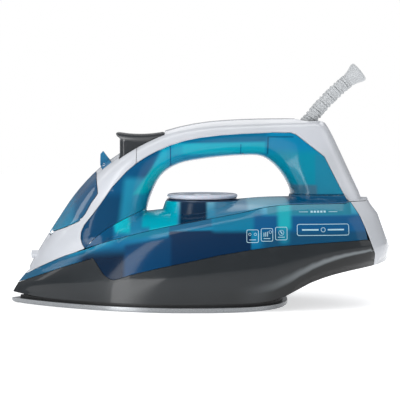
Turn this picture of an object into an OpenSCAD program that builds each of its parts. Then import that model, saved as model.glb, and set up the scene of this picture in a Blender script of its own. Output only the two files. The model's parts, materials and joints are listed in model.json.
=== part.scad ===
// Steam iron: a lofted body on a boat-shaped soleplate, with an arched handle,
// a water tank, a steam valve, two hand pumps and a thermostat inside.
// +X runs from the nose to the heel, +Z is up, and the origin is the middle of
// the soleplate's ironing face.

/* [Overall size] */
// Length from the nose tip to the heel
body_l = 284; // [240:1:345]
// Width of the soleplate
body_w = 112; // [92:1:136]
// Height of the handle's top above the ironing face
body_h = 141; // [118:1:170]

/* [Shells] */
// Wall of the moulded shells
wall = 2.2; // [1.6:0.1:3]
// Gap between neighbouring shells
seam = 0.35; // [0.2:0.05:0.8]

/* [Soleplate] */
// Thickness of the soleplate
sole_t = 3.5; // [2.5:0.1:5]
// Radius of a steam hole
vent_r = 1.6; // [1:0.1:2.4]
// Gap between the soleplate and the skirt's lower edge
groove_h = 2.5; // [1.5:0.1:4]

/* [Temperature dial] */
// Diameter of the dial
dial_d = 54; // [40:1:60]
// Thickness of the dial's disc
dial_t = 3.6; // [2.5:0.1:6]
// Radius of the shaft that the dial turns
shaft_r = 3; // [2:0.1:4]

/* [Buttons] */
// Width of one thumb button
button_w = 12.5; // [9:0.5:15]
// Length of a thumb button
button_l = 36; // [28:1:42]
// Travel of a thumb button
button_travel = 4; // [3:0.5:5]
// Radius of a pump's piston
piston_r = 3.5; // [2.5:0.1:4.5]

/* [Steam selector] */
// Radius of the drum that the selector slides round
drum_r = 11.6; // [9:0.1:13]
// Width of the selector's saddle along the ridge
saddle_w = 8.4; // [6:0.1:11]
// Radius of the steam valve's rod
rod_r = 1.8; // [1.2:0.1:2.5]

/* [Cord outlet] */
// Radius of the swivel ball
ball_r = 8.5; // [8:0.1:10]
// Outer radius of the cord guard
guard_r = 5.5; // [4.5:0.1:6.5]
// Length of the cord guard outside the ball
guard_l = 58; // [45:1:75]
// Radius of the hole that the mains lead runs through
lead_r = 3.5; // [2.5:0.1:4]

/* [Hidden] */
$fn = 48;
run_gap = 0.05;            // radial clearance of a turning fit
slide_gap = 0.4;           // clearance round a piece that slides
dial_gap = 0.5;            // gap under the dial
hidden_lap = 1;            // how far a cutter reaches past what it cuts
tiny = 0.6;                // half-width of the blunt edge where a loft closes at the nose

casting_inset = 8;         // how far the heater casting stands in from the soleplate's edge
casting_top = sole_t + 13; // top of the heater casting
cover_t = 1.5;             // thickness of the steam chamber's cover

// The outlines are drawn on a body of 284 x 112 x 141 and follow its size.
kx = body_l / 284;
ky = body_w / 112;
kz = body_h / 141;
function at(p) = [p[0] * kx, p[1] * kz];
rod_x = -26.3 * kx;          // the steam valve's rod
function outline(points) = [for (p = points) at(p)];

// ---- curves -----------------------------------------------------------
function clip(v, low, high) = max(low, min(high, v));
function span(p, x, i = 0) = i >= len(p) - 2 || x < p[i + 1][0] ? i : span(p, x, i + 1);
function rise(p, i) =
    let (a = max(i - 1, 0), b = min(i + 1, len(p) - 1))
    (p[b][1] - p[a][1]) / (p[b][0] - p[a][0]);
// Smooth value at x through [x, value] pairs; a value can be a vector
function along(p, x) =
    let (i = span(p, x), h = p[i + 1][0] - p[i][0], u = clip((x - p[i][0]) / h, 0, 1))
    p[i][1] * (2 * u * u * u - 3 * u * u + 1) + rise(p, i) * h * (u * u * u - 2 * u * u + u)
    + p[i + 1][1] * (3 * u * u - 2 * u * u * u) + rise(p, i + 1) * h * (u * u * u - u * u);
// Points of a smooth curve that starts at the first of the given points
function smooth_line(p, steps) =
    [for (i = [0 : len(p) - 2], s = [0 : steps - 1])
        let (u = s / steps, a = p[max(i - 1, 0)], b = p[i], c = p[i + 1], d = p[min(i + 2, len(p) - 1)])
        0.5 * (2 * b + (c - a) * u + (2 * a - 5 * b + 4 * c - d) * u * u
            + (3 * b - a - 3 * c + d) * u * u * u)];

// ---- lofts ------------------------------------------------------------
// Closed solid through rings that all have the same number of points
module loft(rings) {
    n = len(rings[0]);
    m = len(rings);
    polyhedron(
        points = [for (r = rings) each r],
        faces = concat(
            [[for (j = [0 : n - 1]) j]],
            [for (i = [0 : m - 2], j = [0 : n - 1]) [i * n + j, (i + 1) * n + j, i * n + (j + 1) % n]],
            [for (i = [0 : m - 2], j = [0 : n - 1])
                [(i + 1) * n + j, (i + 1) * n + (j + 1) % n, i * n + (j + 1) % n]],
            [[for (j = [n - 1 : -1 : 0]) (m - 1) * n + j]]
        ),
        convexity = 8
    );
}

// One half ring, from y = 0 to y = 0, becomes a whole one by mirroring it
function both_sides(half) =
    let (n = len(half))
    concat(half, [for (i = [n - 2 : -1 : 1]) [half[i][0], -half[i][1], half[i][2]]]);

// Solves the booleans of freeform surfaces together, as one mesh
module freeform() {
    resize([0, 0, 0]) children();
}

// ---- the body's plan --------------------------------------------------
nose_x = -106 * kx;
sole_heel_x = 106 * kx;
widest_x = 25 * kx;
// Half-width of a boat-shaped outline: sharp at the nose, blunt at the heel
function bow(x, x0, w) = w * pow(max(0, 1 - pow((widest_x - x) / (widest_x - x0), 1.7)), 0.87);
function sole_y(x, inset) =
    x < widest_x ? bow(x, nose_x + 1.8 * inset, body_w / 2 - inset)
    : let (q = (x - widest_x) / (sole_heel_x - inset - widest_x))
      (body_w / 2 - inset) * pow(max(0, 1 - q * q * q), 0.4);
function sole_outline(inset, steps = 34) =
    let (
        a = nose_x + 1.8 * inset, b = sole_heel_x - inset,
        xs = [for (i = [0 : steps]) a + (b - a) * (1 - cos(180 * i / steps)) / 2]
    )
    concat([for (x = xs) [x, -sole_y(x, inset)]],
        [for (i = [steps - 1 : -1 : 1]) [xs[i], sole_y(xs[i], inset)]]);

// ---- the lower body ---------------------------------------------------
// Heights of its feature lines, from the nose to the heel
bottom_z = [[-105, 8], [-80, 6.3], [-30, 6], [60, 6], [88, 7.5], [102, 11.5], [118, 20],
    [140, 27], [178, 33.5]];
crease_z = [[-104, 10.4], [-60, 13], [0, 17], [60, 19.5], [92, 21.5], [112, 28.8], [126, 34.2],
    [145, 39], [179, 44.5]];
shoulder_low_z = [[-100.3, 16.4], [-79, 24.6], [-62, 31], [-41, 37.6], [-16, 45], [10, 52.3],
    [39, 59.5], [62, 63.8], [96, 67.6], [170, 69]];
shoulder_high_z = [[-94.4, 23.4], [-79, 31], [-63, 38.4], [-45, 44.6], [-32, 49.6], [6, 60],
    [39, 66.6], [70, 72.4], [88, 76.4], [104, 78], [164, 78.6]];
crown_z = [[-94, 24], [-45, 50], [-10, 68.5], [12, 72], [40, 76.2], [73, 80], [100, 81.2], [164, 81]];
// Each line: nose x, heel x, half-width at the widest, half-width at the heel, heights
lines = [
    [-105.1, 182, 54, 34, bottom_z],
    [-103.9, 183.5, 55, 41, crease_z],
    [-100.3, 174.5, 48.5, 37, shoulder_low_z],
    [-94.4, 167, 41, 32, shoulder_high_z],
];
function line_y(x, g, inset) =
    let (x0 = g[0] * kx + 1.8 * inset, x1 = g[1] * kx - inset, w = g[2] * ky - inset,
        w1 = g[3] * ky - inset)
    x < widest_x ? bow(x, x0, w)
    : let (q = (x - widest_x) / (x1 - widest_x))
      (w - (w - w1) * pow(q, 1.6)) * pow(max(0, 1 - pow(q, 12)), 0.5);
function line_point(g, f, inset, drop) =
    let (x0 = g[0] * kx + 1.8 * inset, x1 = g[1] * kx - inset, x = x0 + (x1 - x0) * f)
    [x, max(tiny, line_y(x, g, inset)), along(g[4], x / kx) * kz + drop];
function mix(a, b, u, bulge = 0) = a + (b - a) * u + [0, bulge * 4 * u * (1 - u), 0];
function body_ring(f, inset) =
    let (
        fade = min(1, 14 * f, 30 * (1 - f)),
        a = line_point(lines[0], f, inset, inset), b = line_point(lines[1], f, inset, 0),
        c = line_point(lines[2], f, inset, 0), d = line_point(lines[3], f, inset, -inset / 2),
        top = along(crown_z, d[0] / kx) * kz - inset
    )
    both_sides(concat(
        [[a[0], 0, a[2]], a, mix(a, b, 0.5), b],
        [for (u = [1 : 4]) mix(b, c, u / 5, 1.8 * fade)], [c, mix(c, d, 0.5, 0.5 * fade), d],
        [for (u = [1 : 4]) let (y = d[1] * cos(18 * u))
            [d[0], y, d[2] + (top - d[2]) * (1 - pow(y / d[1], 2))]],
        [[d[0], 0, top]]
    ));
module lower_body(inset = 0, steps = 42) {
    loft([for (i = [0 : steps]) body_ring((1 - cos(180 * i / steps)) / 2, inset)]);
}

// ---- the upper body: nose, handle and rear column ---------------------
// Sections from the outer ridge [x, z] to the inner edge [x, z], then: half-width,
// place of the widest point, depth and half-width of the ridge's edge, sharpness
sections = [
    [0, [-90, 17, -20, 17, 20, 0.6, 3, 3, 1.5]],
    [1, [-92.6, 26, -12, 26, 23, 0.6, 3, 3.6, 1.5]],
    [2, [-87, 37, -6, 36, 26, 0.6, 3, 4.6, 1.5]],
    [3, [-78, 52, -3, 50, 30.5, 0.6, 3, 5, 1.5]],
    [4, [-68.5, 66.5, -2.6, 63, 28, 0.58, 3, 5, 1.45]],
    [5, [-59, 80.5, -1, 74, 25, 0.56, 3, 5, 1.35]],
    [6, [-48.5, 93, 2.6, 85, 22.6, 0.54, 3, 5.2, 1.25]],
    [7, [-37, 104, 8, 95.6, 20.8, 0.52, 3, 6, 1.15]],
    [8, [-23, 114, 15.5, 102.6, 19.6, 0.5, 3, 8, 1.05]],
    [9, [-6, 123.6, 26, 107.2, 18.8, 0.5, 3, 10, 1]],
    [10, [13, 132, 40, 109.8, 18.3, 0.5, 3.4, 11, 1]],
    [11, [40, 138, 55, 111.6, 18, 0.5, 3.8, 11.5, 1]],
    [12, [70, 140.4, 71, 112.7, 18, 0.5, 3.8, 11.5, 1]],
    [13, [98, 141, 84.5, 112.4, 18, 0.5, 3.8, 11.5, 1]],
    [14, [119, 140.9, 93, 108, 18.3, 0.5, 4, 12, 1]],
    [15, [131, 140.2, 98.5, 102.6, 18.8, 0.52, 4, 12.5, 1]],
    [16, [137.5, 133, 102.5, 97.2, 19.6, 0.54, 4, 13, 1]],
    [17, [146, 116, 106.3, 90, 21.5, 0.56, 4, 14, 1]],
    [18, [154, 99, 107.8, 83.6, 23.5, 0.56, 4, 16, 1]],
    [19, [161, 84, 104, 76, 26, 0.55, 4, 18, 1]],
    [20, [165, 70, 98, 64, 28, 0.55, 4, 20, 1]],
];
function section_ring(s, inset) =
    let (
        v = along(sections, s),
        o = at([v[0], v[1]]), i = at([v[2], v[3]]), l = norm(i - o), dir = (i - o) / l,
        w = v[4] * ky - inset, peak = l * v[5], d1 = v[6] + inset * 0.5, y1 = v[7] * ky - inset * 0.7,
        put = function (depth, y) let (p = o + dir * depth) [p[0], y, p[1]]
    )
    both_sides(concat(
        [put(inset, 0), put(inset + (d1 - inset) * 0.3, y1 * 0.6), put(d1, y1)],
        [for (a = [15 : 15 : 90])
            put(peak - (peak - d1) * pow(cos(a), 0.95), y1 + (w - y1) * pow(sin(a), v[8]))],
        [for (a = [15 : 15 : 75])
            put(peak + (l - inset - peak) * pow(sin(a), 0.85), w * pow(cos(a), 0.85))],
        [put(l - inset, 0)]
    ));
module upper_body(inset = 0, steps = 50) {
    last = len(sections) - 1;
    loft([for (i = [steps : -1 : 0]) section_ring(last * i / steps, inset)]);
}

// ---- shells -----------------------------------------------------------
module skin(inner_lower, inner_upper) {
    difference() {
        union() {
            lower_body();
            upper_body();
        }
        lower_body(inner_lower, 22);
        upper_body(inner_upper, 26);
    }
}

// Everything inside a side view outline, less half of a seam all round
module side_cut(points, gap = seam / 2) {
    rotate([90, 0, 0])
        linear_extrude(height = 2 * body_w, center = true)
            offset(delta = -gap)
                polygon(outline(points));
}

far = 230;                 // beyond the body on every side
function reversed(p) = [for (i = [len(p) - 1 : -1 : 0]) p[i]];
// Top edge of the skirt, from the nose to the heel
skirt_top = [[-100.3, 15.6], [-79, 23.8], [-62, 30.2], [-45, 35.8], [-39.8, 37.4], [-37, 34],
    [-34.1, 29.9], [-31.4, 26.4], [-28.4, 24.1], [-25.8, 23], [-23.3, 22.8], [-18, 24.4], [-11.2, 26.8],
    [10.3, 32.4], [39, 38.5], [52.6, 41.4], [75.5, 45.2], [93.8, 47.5], [121.3, 49.5], [144.1, 50.7],
    [162, 51.6]];
// Top edge of the tank's lower half
belt_top = [for (x = [-94.4 : 8 : 145.6]) [x, along(shoulder_high_z, x) - 0.8]];
// Front edge of the heel cover, from its top to its foot
heel_edge = [[150.2, 78.9], [156, 69.7], [159.7, 61.3], [163.9, 50.6], [166.2, 44.6], [167.7, 40.9],
    [167.6, 20]];
// Edge between the blue grip and the white covers, from the tank round to the heel
grip_edge = [[-46.6, 44], [-48.4, 47], [-49.7, 51.5], [-49.4, 56.2], [-47.1, 61.4], [-40.8, 69.2],
    [-34.6, 77.6], [-26.3, 89.6], [-15.8, 101], [-8.6, 107], [-0.2, 112.5], [8, 116.8], [17.6, 120.9],
    [28, 124.2], [39, 126.4], [54, 128.2], [69.9, 129.3], [92.9, 130.2], [106.7, 130], [110.7, 128.6],
    [121.6, 120.1], [131.9, 112.1], [138.8, 98.3], [143.4, 89.1], [148.4, 80], [150.2, 78.9]];
cover_split = -8.6;        // the nose and handle covers meet here, under the buttons
// Top edge of the tank: round the front column's foot, then below the rear column
tank_edge = [[-46.6, 44], [-40, 51], [-30, 59], [-16, 66.5], [-4, 71.8], [3, 74], [10, 84], [30, 94],
    [90, 94], [106, 83.4], [146.7, 83.4]];

skirt_region = concat([[-far, -10], [-far, 15.6]], skirt_top,
    [for (p = heel_edge) if (p[1] < 51) p], [[167.6, -10]]);
belt_region = concat([[-far, 15.6]], skirt_top,
    reversed([for (p = heel_edge) if (p[1] > 51) p]), reversed(belt_top), [[-far, 22.6]]);
heel_region = concat(heel_edge, [[far, 20], [far, 78.9]]);
nose_region = concat([[-far, 22.6]], [for (p = belt_top) if (p[0] < -46.6) p],
    [for (p = grip_edge) if (p[0] <= cover_split) p], [[cover_split, far], [-far, far]]);
cover_region = concat([for (p = grip_edge) if (p[0] >= cover_split) p],
    [[far, 78.9], [far, far], [cover_split, far]]);
tank_region = concat([for (p = belt_top) if (p[0] > -46) p], [[150.2, 78.9], [148.4, 80]],
    reversed(tank_edge));
grip_region = concat([for (p = grip_edge) if (p[1] > 43 && p[1] < 200 && p[0] < 147) p],
    reversed(tank_edge));

// ---- filler door ------------------------------------------------------
door_outline = [[-90, 52.6], [-75.2, 53.4], [-72.4, 54.8], [-62, 58.8], [-51.4, 63.6], [-46.8, 68.8],
    [-42.3, 77.1], [-38.4, 82.6], [-37.2, 84.6], [-37.6, 87.4], [-39.8, 100.6], [-60, 110], [-100, 70]];
door_pivot = at([-73.4, 54.8]);
door_barrel_r = 2;
door_pin_r = 1;
door_half = 5;             // half-length of the door's barrel
barrel_gap = 1.8;          // clearance round the barrel, which the panel's foot also swings in

module across(p, r, y0, y1) {
    translate([p[0], y1, p[1]]) rotate([90, 0, 0]) cylinder(r = r, h = y1 - y0);
}
// Square to the nose ridge at the door: x runs up the ridge, z runs outwards
ridge_tilt = 53;
module on_ridge(p) {
    translate([p[0], 0, p[1]]) rotate([0, -ridge_tilt, 0]) children();
}

module filler_door() {
    color("SteelBlue", 0.6)
        difference() {
            union() {
                freeform() intersection() {
                    difference() {
                        upper_body();
                        upper_body(wall, 26);
                    }
                    side_cut(door_outline, 0.5);
                }
                across(door_pivot, door_barrel_r, -door_half, door_half);
            }
            across(door_pivot, door_pin_r + run_gap, -far, far);
        }
}
module door_pin() {
    color("Silver") across(door_pivot, door_pin_r, -door_half - 3, door_half + 3);
}
filler_mouth = at([-56.5, 79]);
mouth_r = 8;
seal_low = -5.4;           // the plug's foot, measured square to the ridge
seal_t = 2.4;
module filler_seal() {
    color("DimGray") on_ridge(filler_mouth) difference() {
        translate([0, 0, seal_low]) cylinder(r = mouth_r - slide_gap, h = seal_t);
        translate([0, 0, seal_low - seal_t]) cylinder(r = mouth_r - 3, h = 1.3 * seal_t);
    }
}
module filler_tray() {
    color("LightSteelBlue") freeform() difference() {
        intersection() {
            difference() {
                upper_body(wall + 1.6, 26);
                upper_body(wall + 3, 26);
            }
            side_cut([for (p = door_outline) p + [2.4, 2]], 1.4);
        }
        on_ridge(filler_mouth) translate([0, 0, -12]) cylinder(r = mouth_r, h = 24);
    }
}

// ---- steam selector ---------------------------------------------------
selector_tilt = 39;
selector_axis = at([-26.6, 98.6]);
selector_pin_r = 1.5;
selector_reach = 72;       // half of the angle that the saddle wraps
drum_top = 11.6;           // the drum's crown stands this far out from selector_axis
// z runs along the ridge towards the handle, x points out of the ridge
module on_selector() {
    translate([selector_axis[0], 0, selector_axis[1]]) rotate([0, 90 - selector_tilt, 0])
        rotate([0, 0, 180]) translate([drum_top - drum_r, 0, 0]) children();
}
module steam_selector() {
    color("SteelBlue") on_selector() {
        difference() {
            union() {
                rotate([0, 0, -selector_reach]) rotate_extrude(angle = 2 * selector_reach)
                    translate([drum_r - 2.2, -saddle_w / 2]) square([2.2, saddle_w]);
                rotate([0, 0, -selector_reach]) rotate_extrude(angle = 2 * selector_reach)
                    translate([1.6, saddle_w / 2 - 1.6]) square([drum_r - 2, 1.6]);
                translate([0, 0, saddle_w / 2 - 5]) cylinder(r = 3.2, h = 5);
                translate([drum_r - 1.2, 1.7, 0]) rotate([90, 0, 0]) linear_extrude(height = 3.4)
                    polygon([[0, -saddle_w / 2], [1.6, -saddle_w / 2 + 0.2], [3.6, -2.4], [8, 1.4],
                        [8.6, 4.4], [3, saddle_w / 2], [0, saddle_w / 2]]);
            }
            translate([0, 0, -saddle_w]) cylinder(r = selector_pin_r + run_gap, h = 2 * saddle_w);
        }
    }
}
module selector_pin() {
    color("Silver") on_selector()
        translate([0, 0, -1.6]) cylinder(r = selector_pin_r, h = saddle_w / 2 + 4.6);
}

// ---- spray nozzle -----------------------------------------------------
nozzle_at = at([-90.4, 36.8]);
nozzle_r = 3.1;
module spray_nozzle() {
    color("White") translate([nozzle_at[0], 0, nozzle_at[1]]) rotate([0, 90, 0]) difference() {
        union() {
            cylinder(r = nozzle_r, h = 12);
            translate([0, 0, 11]) cylinder(r = 1.8, h = 7);
        }
        translate([0, 0, 1.2]) cylinder(r = 1, h = 20);
        translate([0, 0, -1]) cylinder(r = 0.5, h = 4);
        translate([0, 0, -1]) cylinder(r = 1.7, h = 1.6);
    }
}

// ---- covers -----------------------------------------------------------
button_x = -21.8 * kx;     // front of the buttons' stems
button_gap = 0.3;          // gap between the two buttons
button_y = button_w + button_gap / 2;
button_tail = button_l - 2.2; // length of a button behind its stem's front
// The opening in the covers that the buttons sink into
module button_well() {
    translate([button_x - slide_gap, -button_y - slide_gap, stem_low - button_travel - 1])
        cube([button_tail + 2 * slide_gap, 2 * (button_y + slide_gap), far]);
}
module nose_cover() {
    color("WhiteSmoke") difference() {
        freeform() difference() {
            intersection() {
                skin(wall, wall);
                side_cut(nose_region);
            }
            side_cut(door_outline, 0);
            button_well();
            on_selector() translate([0, 0, -saddle_w / 2 - slide_gap])
                cylinder(r = drum_r + slide_gap, h = saddle_w + 2 * slide_gap);
            across(door_pivot, door_barrel_r + barrel_gap, -door_half - slide_gap, door_half + slide_gap);
        }
        translate([nozzle_at[0] - 5, 0, nozzle_at[1]]) rotate([0, 90, 0])
            cylinder(r = nozzle_r + run_gap, h = 20);
        across(door_pivot, door_pin_r + run_gap, -door_half - 4, door_half + 4);
    }
}
module handle_cover() {
    color("WhiteSmoke") freeform() difference() {
        intersection() {
            skin(wall, wall);
            side_cut(cover_region);
        }
        button_well();
        on_guard() translate([0, 0, -ball_r])
            cylinder(r1 = guard_r + 4, r2 = guard_r + 5, h = 4 * ball_r);
    }
}
module rear_cover() {
    color("WhiteSmoke") freeform() intersection() {
        skin(wall, wall);
        side_cut(heel_region);
    }
}
module handle_lower() {
    color("DeepSkyBlue", 0.6) freeform() intersection() {
        skin(wall, wall);
        side_cut(grip_region);
    }
}
module tank_lower() {
    color("SteelBlue", 0.6) freeform() intersection() {
        skin(wall, wall);
        side_cut(belt_region);
    }
}

// ---- temperature dial -------------------------------------------------
dial_x = 40.8 * kx;
dial_r = dial_d / 2;
seat_z = 78 * kz;          // top of the mound that carries the dial
seat_t = 1.4;
dial_z = seat_z + seat_t + dial_gap;
skirt_drop = 1.2;          // how far the mound stands out past the dial
module at_dial(z) {
    translate([dial_x, 0, z]) children();
}
module tank_upper() {
    foot = along(crown_z, 40) * kz - 9;
    color("DeepSkyBlue", 0.6) freeform() difference() {
        union() {
            intersection() {
                skin(wall, wall);
                side_cut(tank_region);
            }
            intersection() {
                at_dial(foot)
                    cylinder(r1 = dial_r + 5, r2 = dial_r + skirt_drop, h = seat_z - foot, $fn = 40);
                side_cut(tank_region);
            }
        }
        at_dial(foot - hidden_lap)
            cylinder(r1 = dial_r + 5 - wall, r2 = dial_r + skirt_drop - wall,
                h = seat_z - foot - wall + hidden_lap, $fn = 40);
        at_dial(seat_z) cylinder(r = dial_r + skirt_drop + 1, h = 3 * seat_t + dial_t, $fn = 40);
        at_dial(seat_z - 2 * wall) cylinder(r = 5, h = 4 * wall, $fn = 24);
    }
}
module dial_seat() {
    color("Lavender") at_dial(seat_z - wall) difference() {
        union() {
            cylinder(r = 4.8, h = wall + seat_t);
            translate([0, 0, wall]) cylinder(r = dial_r + 0.4, h = seat_t);
        }
        translate([0, 0, -hidden_lap]) cylinder(r = shaft_r + run_gap, h = 4 * wall);
    }
}
module dial() {
    color("Lavender") at_dial(dial_z) difference() {
        rotate_extrude() polygon([[0, 0], [dial_r - 1, 0], [dial_r, 0.8], [dial_r, dial_t - 1],
            [dial_r - 1, dial_t], [dial_r - 6, dial_t], [dial_r - 7, dial_t - 0.8], [0, dial_t - 0.8]]);
        translate([0, 0, -hidden_lap]) cylinder(r = shaft_r - 0.4, h = 2 + hidden_lap);
    }
}
thermostat_z = casting_top + 14;
module dial_shaft() {
    color("Gainsboro") at_dial(thermostat_z - 5) {
        cylinder(r = shaft_r, h = dial_z - thermostat_z + 5);
        cylinder(r = shaft_r - 0.4, h = dial_z - thermostat_z + 7);
    }
}

// ---- soleplate and heater ---------------------------------------------
// Steam holes: a chevron at the nose and two rows down each side
vents = concat(
    [[-86, 0], [-78, 0], [-70, 0]],
    [for (i = [0 : 4], side = [-1, 1]) [-72 + 11 * i, side * (9 + 6.2 * i)]],
    [for (i = [0 : 3], side = [-1, 1]) [-54 + 11 * i, side * (6 + 5.4 * i)]],
    [for (i = [0 : 5], side = [-1, 1]) [-14 + 13 * i, side * (39.5 - (i > 3 ? 1.5 * (i - 3) : 0))]]
);
// Places of the screws that hold the casting to the skirt
screws = [[92, 0], [16, 33], [16, -33], [-66, 0]];
module sole_slice(inset, z0, z1) {
    translate([0, 0, z0]) linear_extrude(height = z1 - z0) polygon(sole_outline(inset));
}
module soleplate() {
    color("Silver") difference() {
        union() {
            sole_slice(1.1, 0, 0.5);
            sole_slice(0.4, 0.5, 1.1);
            sole_slice(0, 1.1, sole_t);
        }
        for (v = vents) translate([v[0] * kx, v[1] * ky, -hidden_lap]) cylinder(r = vent_r, h = 2 * sole_t);
    }
}
module gasket() {
    color("Black") difference() {
        sole_slice(3.6, sole_t, sole_t + groove_h - 0.4);
        sole_slice(casting_inset - 1, 0, far);
    }
}
element_x = 78 * kx;       // rear end of the heating element
element_y = 27 * ky;       // its two legs stand this far each side of the middle
element_r = 3.2;
element_z = sole_t + 4.5;
nose_run = -30 * kx;       // its legs join in a half circle in front of this
module heating_element() {
    color("DimGray") bent_bar(concat(
        [[element_x, -element_y, element_z]],
        [for (a = [270 : -10 : 90]) [nose_run + element_y * cos(a), element_y * sin(a), element_z]],
        [[element_x, element_y, element_z]]), element_r, 12);
}
module element_terminals() {
    color("Ivory") for (side = [-1, 1])
        translate([element_x + 0.1, side * element_y, element_z]) rotate([0, 90, 0]) {
            cylinder(r = 2.6, h = 4);
            cylinder(r = 1.2, h = 12);
        }
}
// Plan of the channel that the element lies in
module channel_plan(r) {
    difference() {
        union() {
            translate([nose_run, 0]) circle(r = element_y + r);
            translate([nose_run, -element_y - r]) square([far, 2 * (element_y + r)]);
        }
        translate([nose_run, 0]) circle(r = element_y - r);
        translate([nose_run, -element_y + r]) square([element_x - nose_run - r, 2 * (element_y - r)]);
    }
}
module heater_casting() {
    color("DarkGray") difference() {
        sole_slice(casting_inset, sole_t, casting_top);
        translate([0, 0, element_z - element_r - 0.1]) linear_extrude(height = far)
            channel_plan(element_r + 0.4);
        translate([nose_run - 14, -chamber_y, casting_top - 7]) cube([44, 2 * chamber_y, far]);
        at_dial(casting_top - 3) cylinder(r = 11, h = 5);
    }
}
chamber_y = 17 * ky;       // half-width of the steam chamber
module chamber_cover() {
    color("Silver") difference() {
        intersection() {
            sole_slice(casting_inset + 3, casting_top, casting_top + cover_t);
            translate([-far + 26, -far / 2, 0]) cube([far, far, far]);
        }
        translate([rod_x, 0, 0]) cylinder(r = 4, h = far);
        for (v = screws) translate([v[0] * kx, v[1] * ky, 0]) cylinder(r = 4, h = far);
    }
}
module thermostat() {
    color("Tan") at_dial(casting_top - 3) difference() {
        union() {
            cylinder(r = 10.6, h = 4);
            cylinder(r = 7, h = thermostat_z - casting_top + 3);
            translate([-4, -4, 8]) cube([22, 8, 1.2]);
        }
        translate([0, 0, 11]) cylinder(r = shaft_r + run_gap, h = far);
    }
}
module thermal_fuse() {
    color("WhiteSmoke") translate([62 * kx, 22 * ky, casting_top + 3.4]) rotate([0, 90, 0]) {
        cylinder(r = 3.4, h = 12);
        translate([0, 0, -5]) cylinder(r = 0.8, h = 22);
    }
}

// ---- steam valve ------------------------------------------------------
rod_low = casting_top + 4;
rod_high = 92 * kz;
module valve_seat() {
    color("Goldenrod") translate([rod_x, 0, casting_top - 3]) difference() {
        union() {
            cylinder(r = 3.9, h = 6);
            translate([0, 0, 3 + cover_t]) cylinder(r = 6, h = 5);
        }
        translate([0, 0, -hidden_lap]) cylinder(r = 0.8, h = 12);
        translate([0, 0, 4]) cylinder(r = rod_r + run_gap, h = 12);
    }
}
module steam_valve_rod() {
    color("Gainsboro") translate([rod_x, 0, rod_low]) union() {
        cylinder(r = rod_r, h = rod_high - rod_low);
        translate([0, 0, rod_high - rod_low - 8]) cylinder(r = 2.6, h = 2);
    }
}

// ---- skirt and tank floor ---------------------------------------------
module skirt() {
    color("DarkSlateGray") freeform() difference() {
        intersection() {
            skin(wall, wall);
            side_cut(skirt_region);
        }
        sole_slice(casting_inset - 3, -hidden_lap, casting_top + 1);
    }
}
floor_region = [[-84, 19.5], [-80, 23.5], [-52, 32], [-7, 43.5], [24.5, 48.6], [24.7, 57], [64, 63.8],
    [64.2, 55], [146, 58], [152, 34], [128, 29], [112, 20], [104, 19.5]];
module tank_floor() {
    color("MidnightBlue") freeform() difference() {
        intersection() {
            lower_body(wall + 1.2, 30);
            side_cut(floor_region);
        }
        intersection() {
            lower_body(wall + 3, 30);
            side_cut([for (p = floor_region) [p[0], p[1] < 30 && p[0] < 120 ? p[1] - 9 : p[1]]], 1.8);
        }
        at_dial(0) cylinder(r = 8, h = far, $fn = 24);
        translate([rod_x, 0, 0]) cylinder(r = 7, h = far, $fn = 24);
    }
}

// ---- thumb buttons and pumps ------------------------------------------
button_top = 131 * kz;
button_low = 112 * kz;
stem_low = button_low - 3; // foot of a button's stem
button_sag = 1.8;
lip_h = 3.6;
pump_x = -11.5 * kx;
pump_y = button_y - button_w / 2;
pump_top = button_low - 2 * button_travel;
pump_r = piston_r + 1.7;
pump_h = 26;
spring_r = piston_r + 1.1;
spring_wire = 0.5;
spring_top = button_low + 5;
module button(side) {
    front = button_x;
    back = button_x + button_tail;
    near = min(side * button_gap / 2, side * button_y);
    sag_r = (button_l * button_l) / (8 * button_sag);
    difference() {
        union() {
            intersection() {
                translate([0, near, 0]) linear_extrude(height = button_top) union() {
                    translate([front + 5, 0]) square([back - front - 5, button_w]);
                    translate([front, side > 0 ? 0 : 5]) square([6, button_w - 5]);
                    translate([front + 5, side > 0 ? button_w - 5 : 5]) circle(r = 5);
                }
                rotate([90, 0, 0]) linear_extrude(height = 4 * button_w, center = true)
                    polygon([[front - 1, stem_low], [front + 9, stem_low], [back, button_top - 9],
                        [back, button_top], [front - 1, button_top]]);
            }
            translate([0, near, 0]) rotate([90, 0, 0]) mirror([0, 0, 1]) linear_extrude(height = button_w)
                polygon([[front - 2.6, button_top - 2.6], [front - 0.4, button_top - lip_h - 1.2],
                    [back - 2.6, button_top - lip_h], [back, button_top + 1], [front - 2.6, button_top]]);
        }
        across([(front + back) / 2, button_top + sag_r - button_sag], sag_r, -far, far);
        translate([pump_x, side * pump_y, 0]) cylinder(r = spring_r + spring_wire + 0.3, h = spring_top);
    }
}
module piston(side) {
    translate([pump_x, side * pump_y, pump_top - 9])
        cylinder(r = piston_r, h = spring_top - pump_top + 9);
}
module pump(side) {
    translate([pump_x, side * pump_y, pump_top - pump_h]) difference() {
        union() {
            cylinder(r = pump_r, h = pump_h);
            translate([0, 0, -4]) cylinder(r = 1.8, h = 5);
        }
        translate([0, 0, 2]) cylinder(r = piston_r + run_gap, h = pump_h);
        translate([0, 0, -5]) cylinder(r = 0.9, h = 8);
    }
}
module spray_button() { color("DimGray") button(-1); }
module burst_button() { color("DimGray") button(1); }
module spray_piston() { color("Ivory") piston(-1); }
module burst_piston() { color("Ivory") piston(1); }
module spray_pump() { color("Ivory") pump(-1); }
module burst_pump() { color("Ivory") pump(1); }
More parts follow.
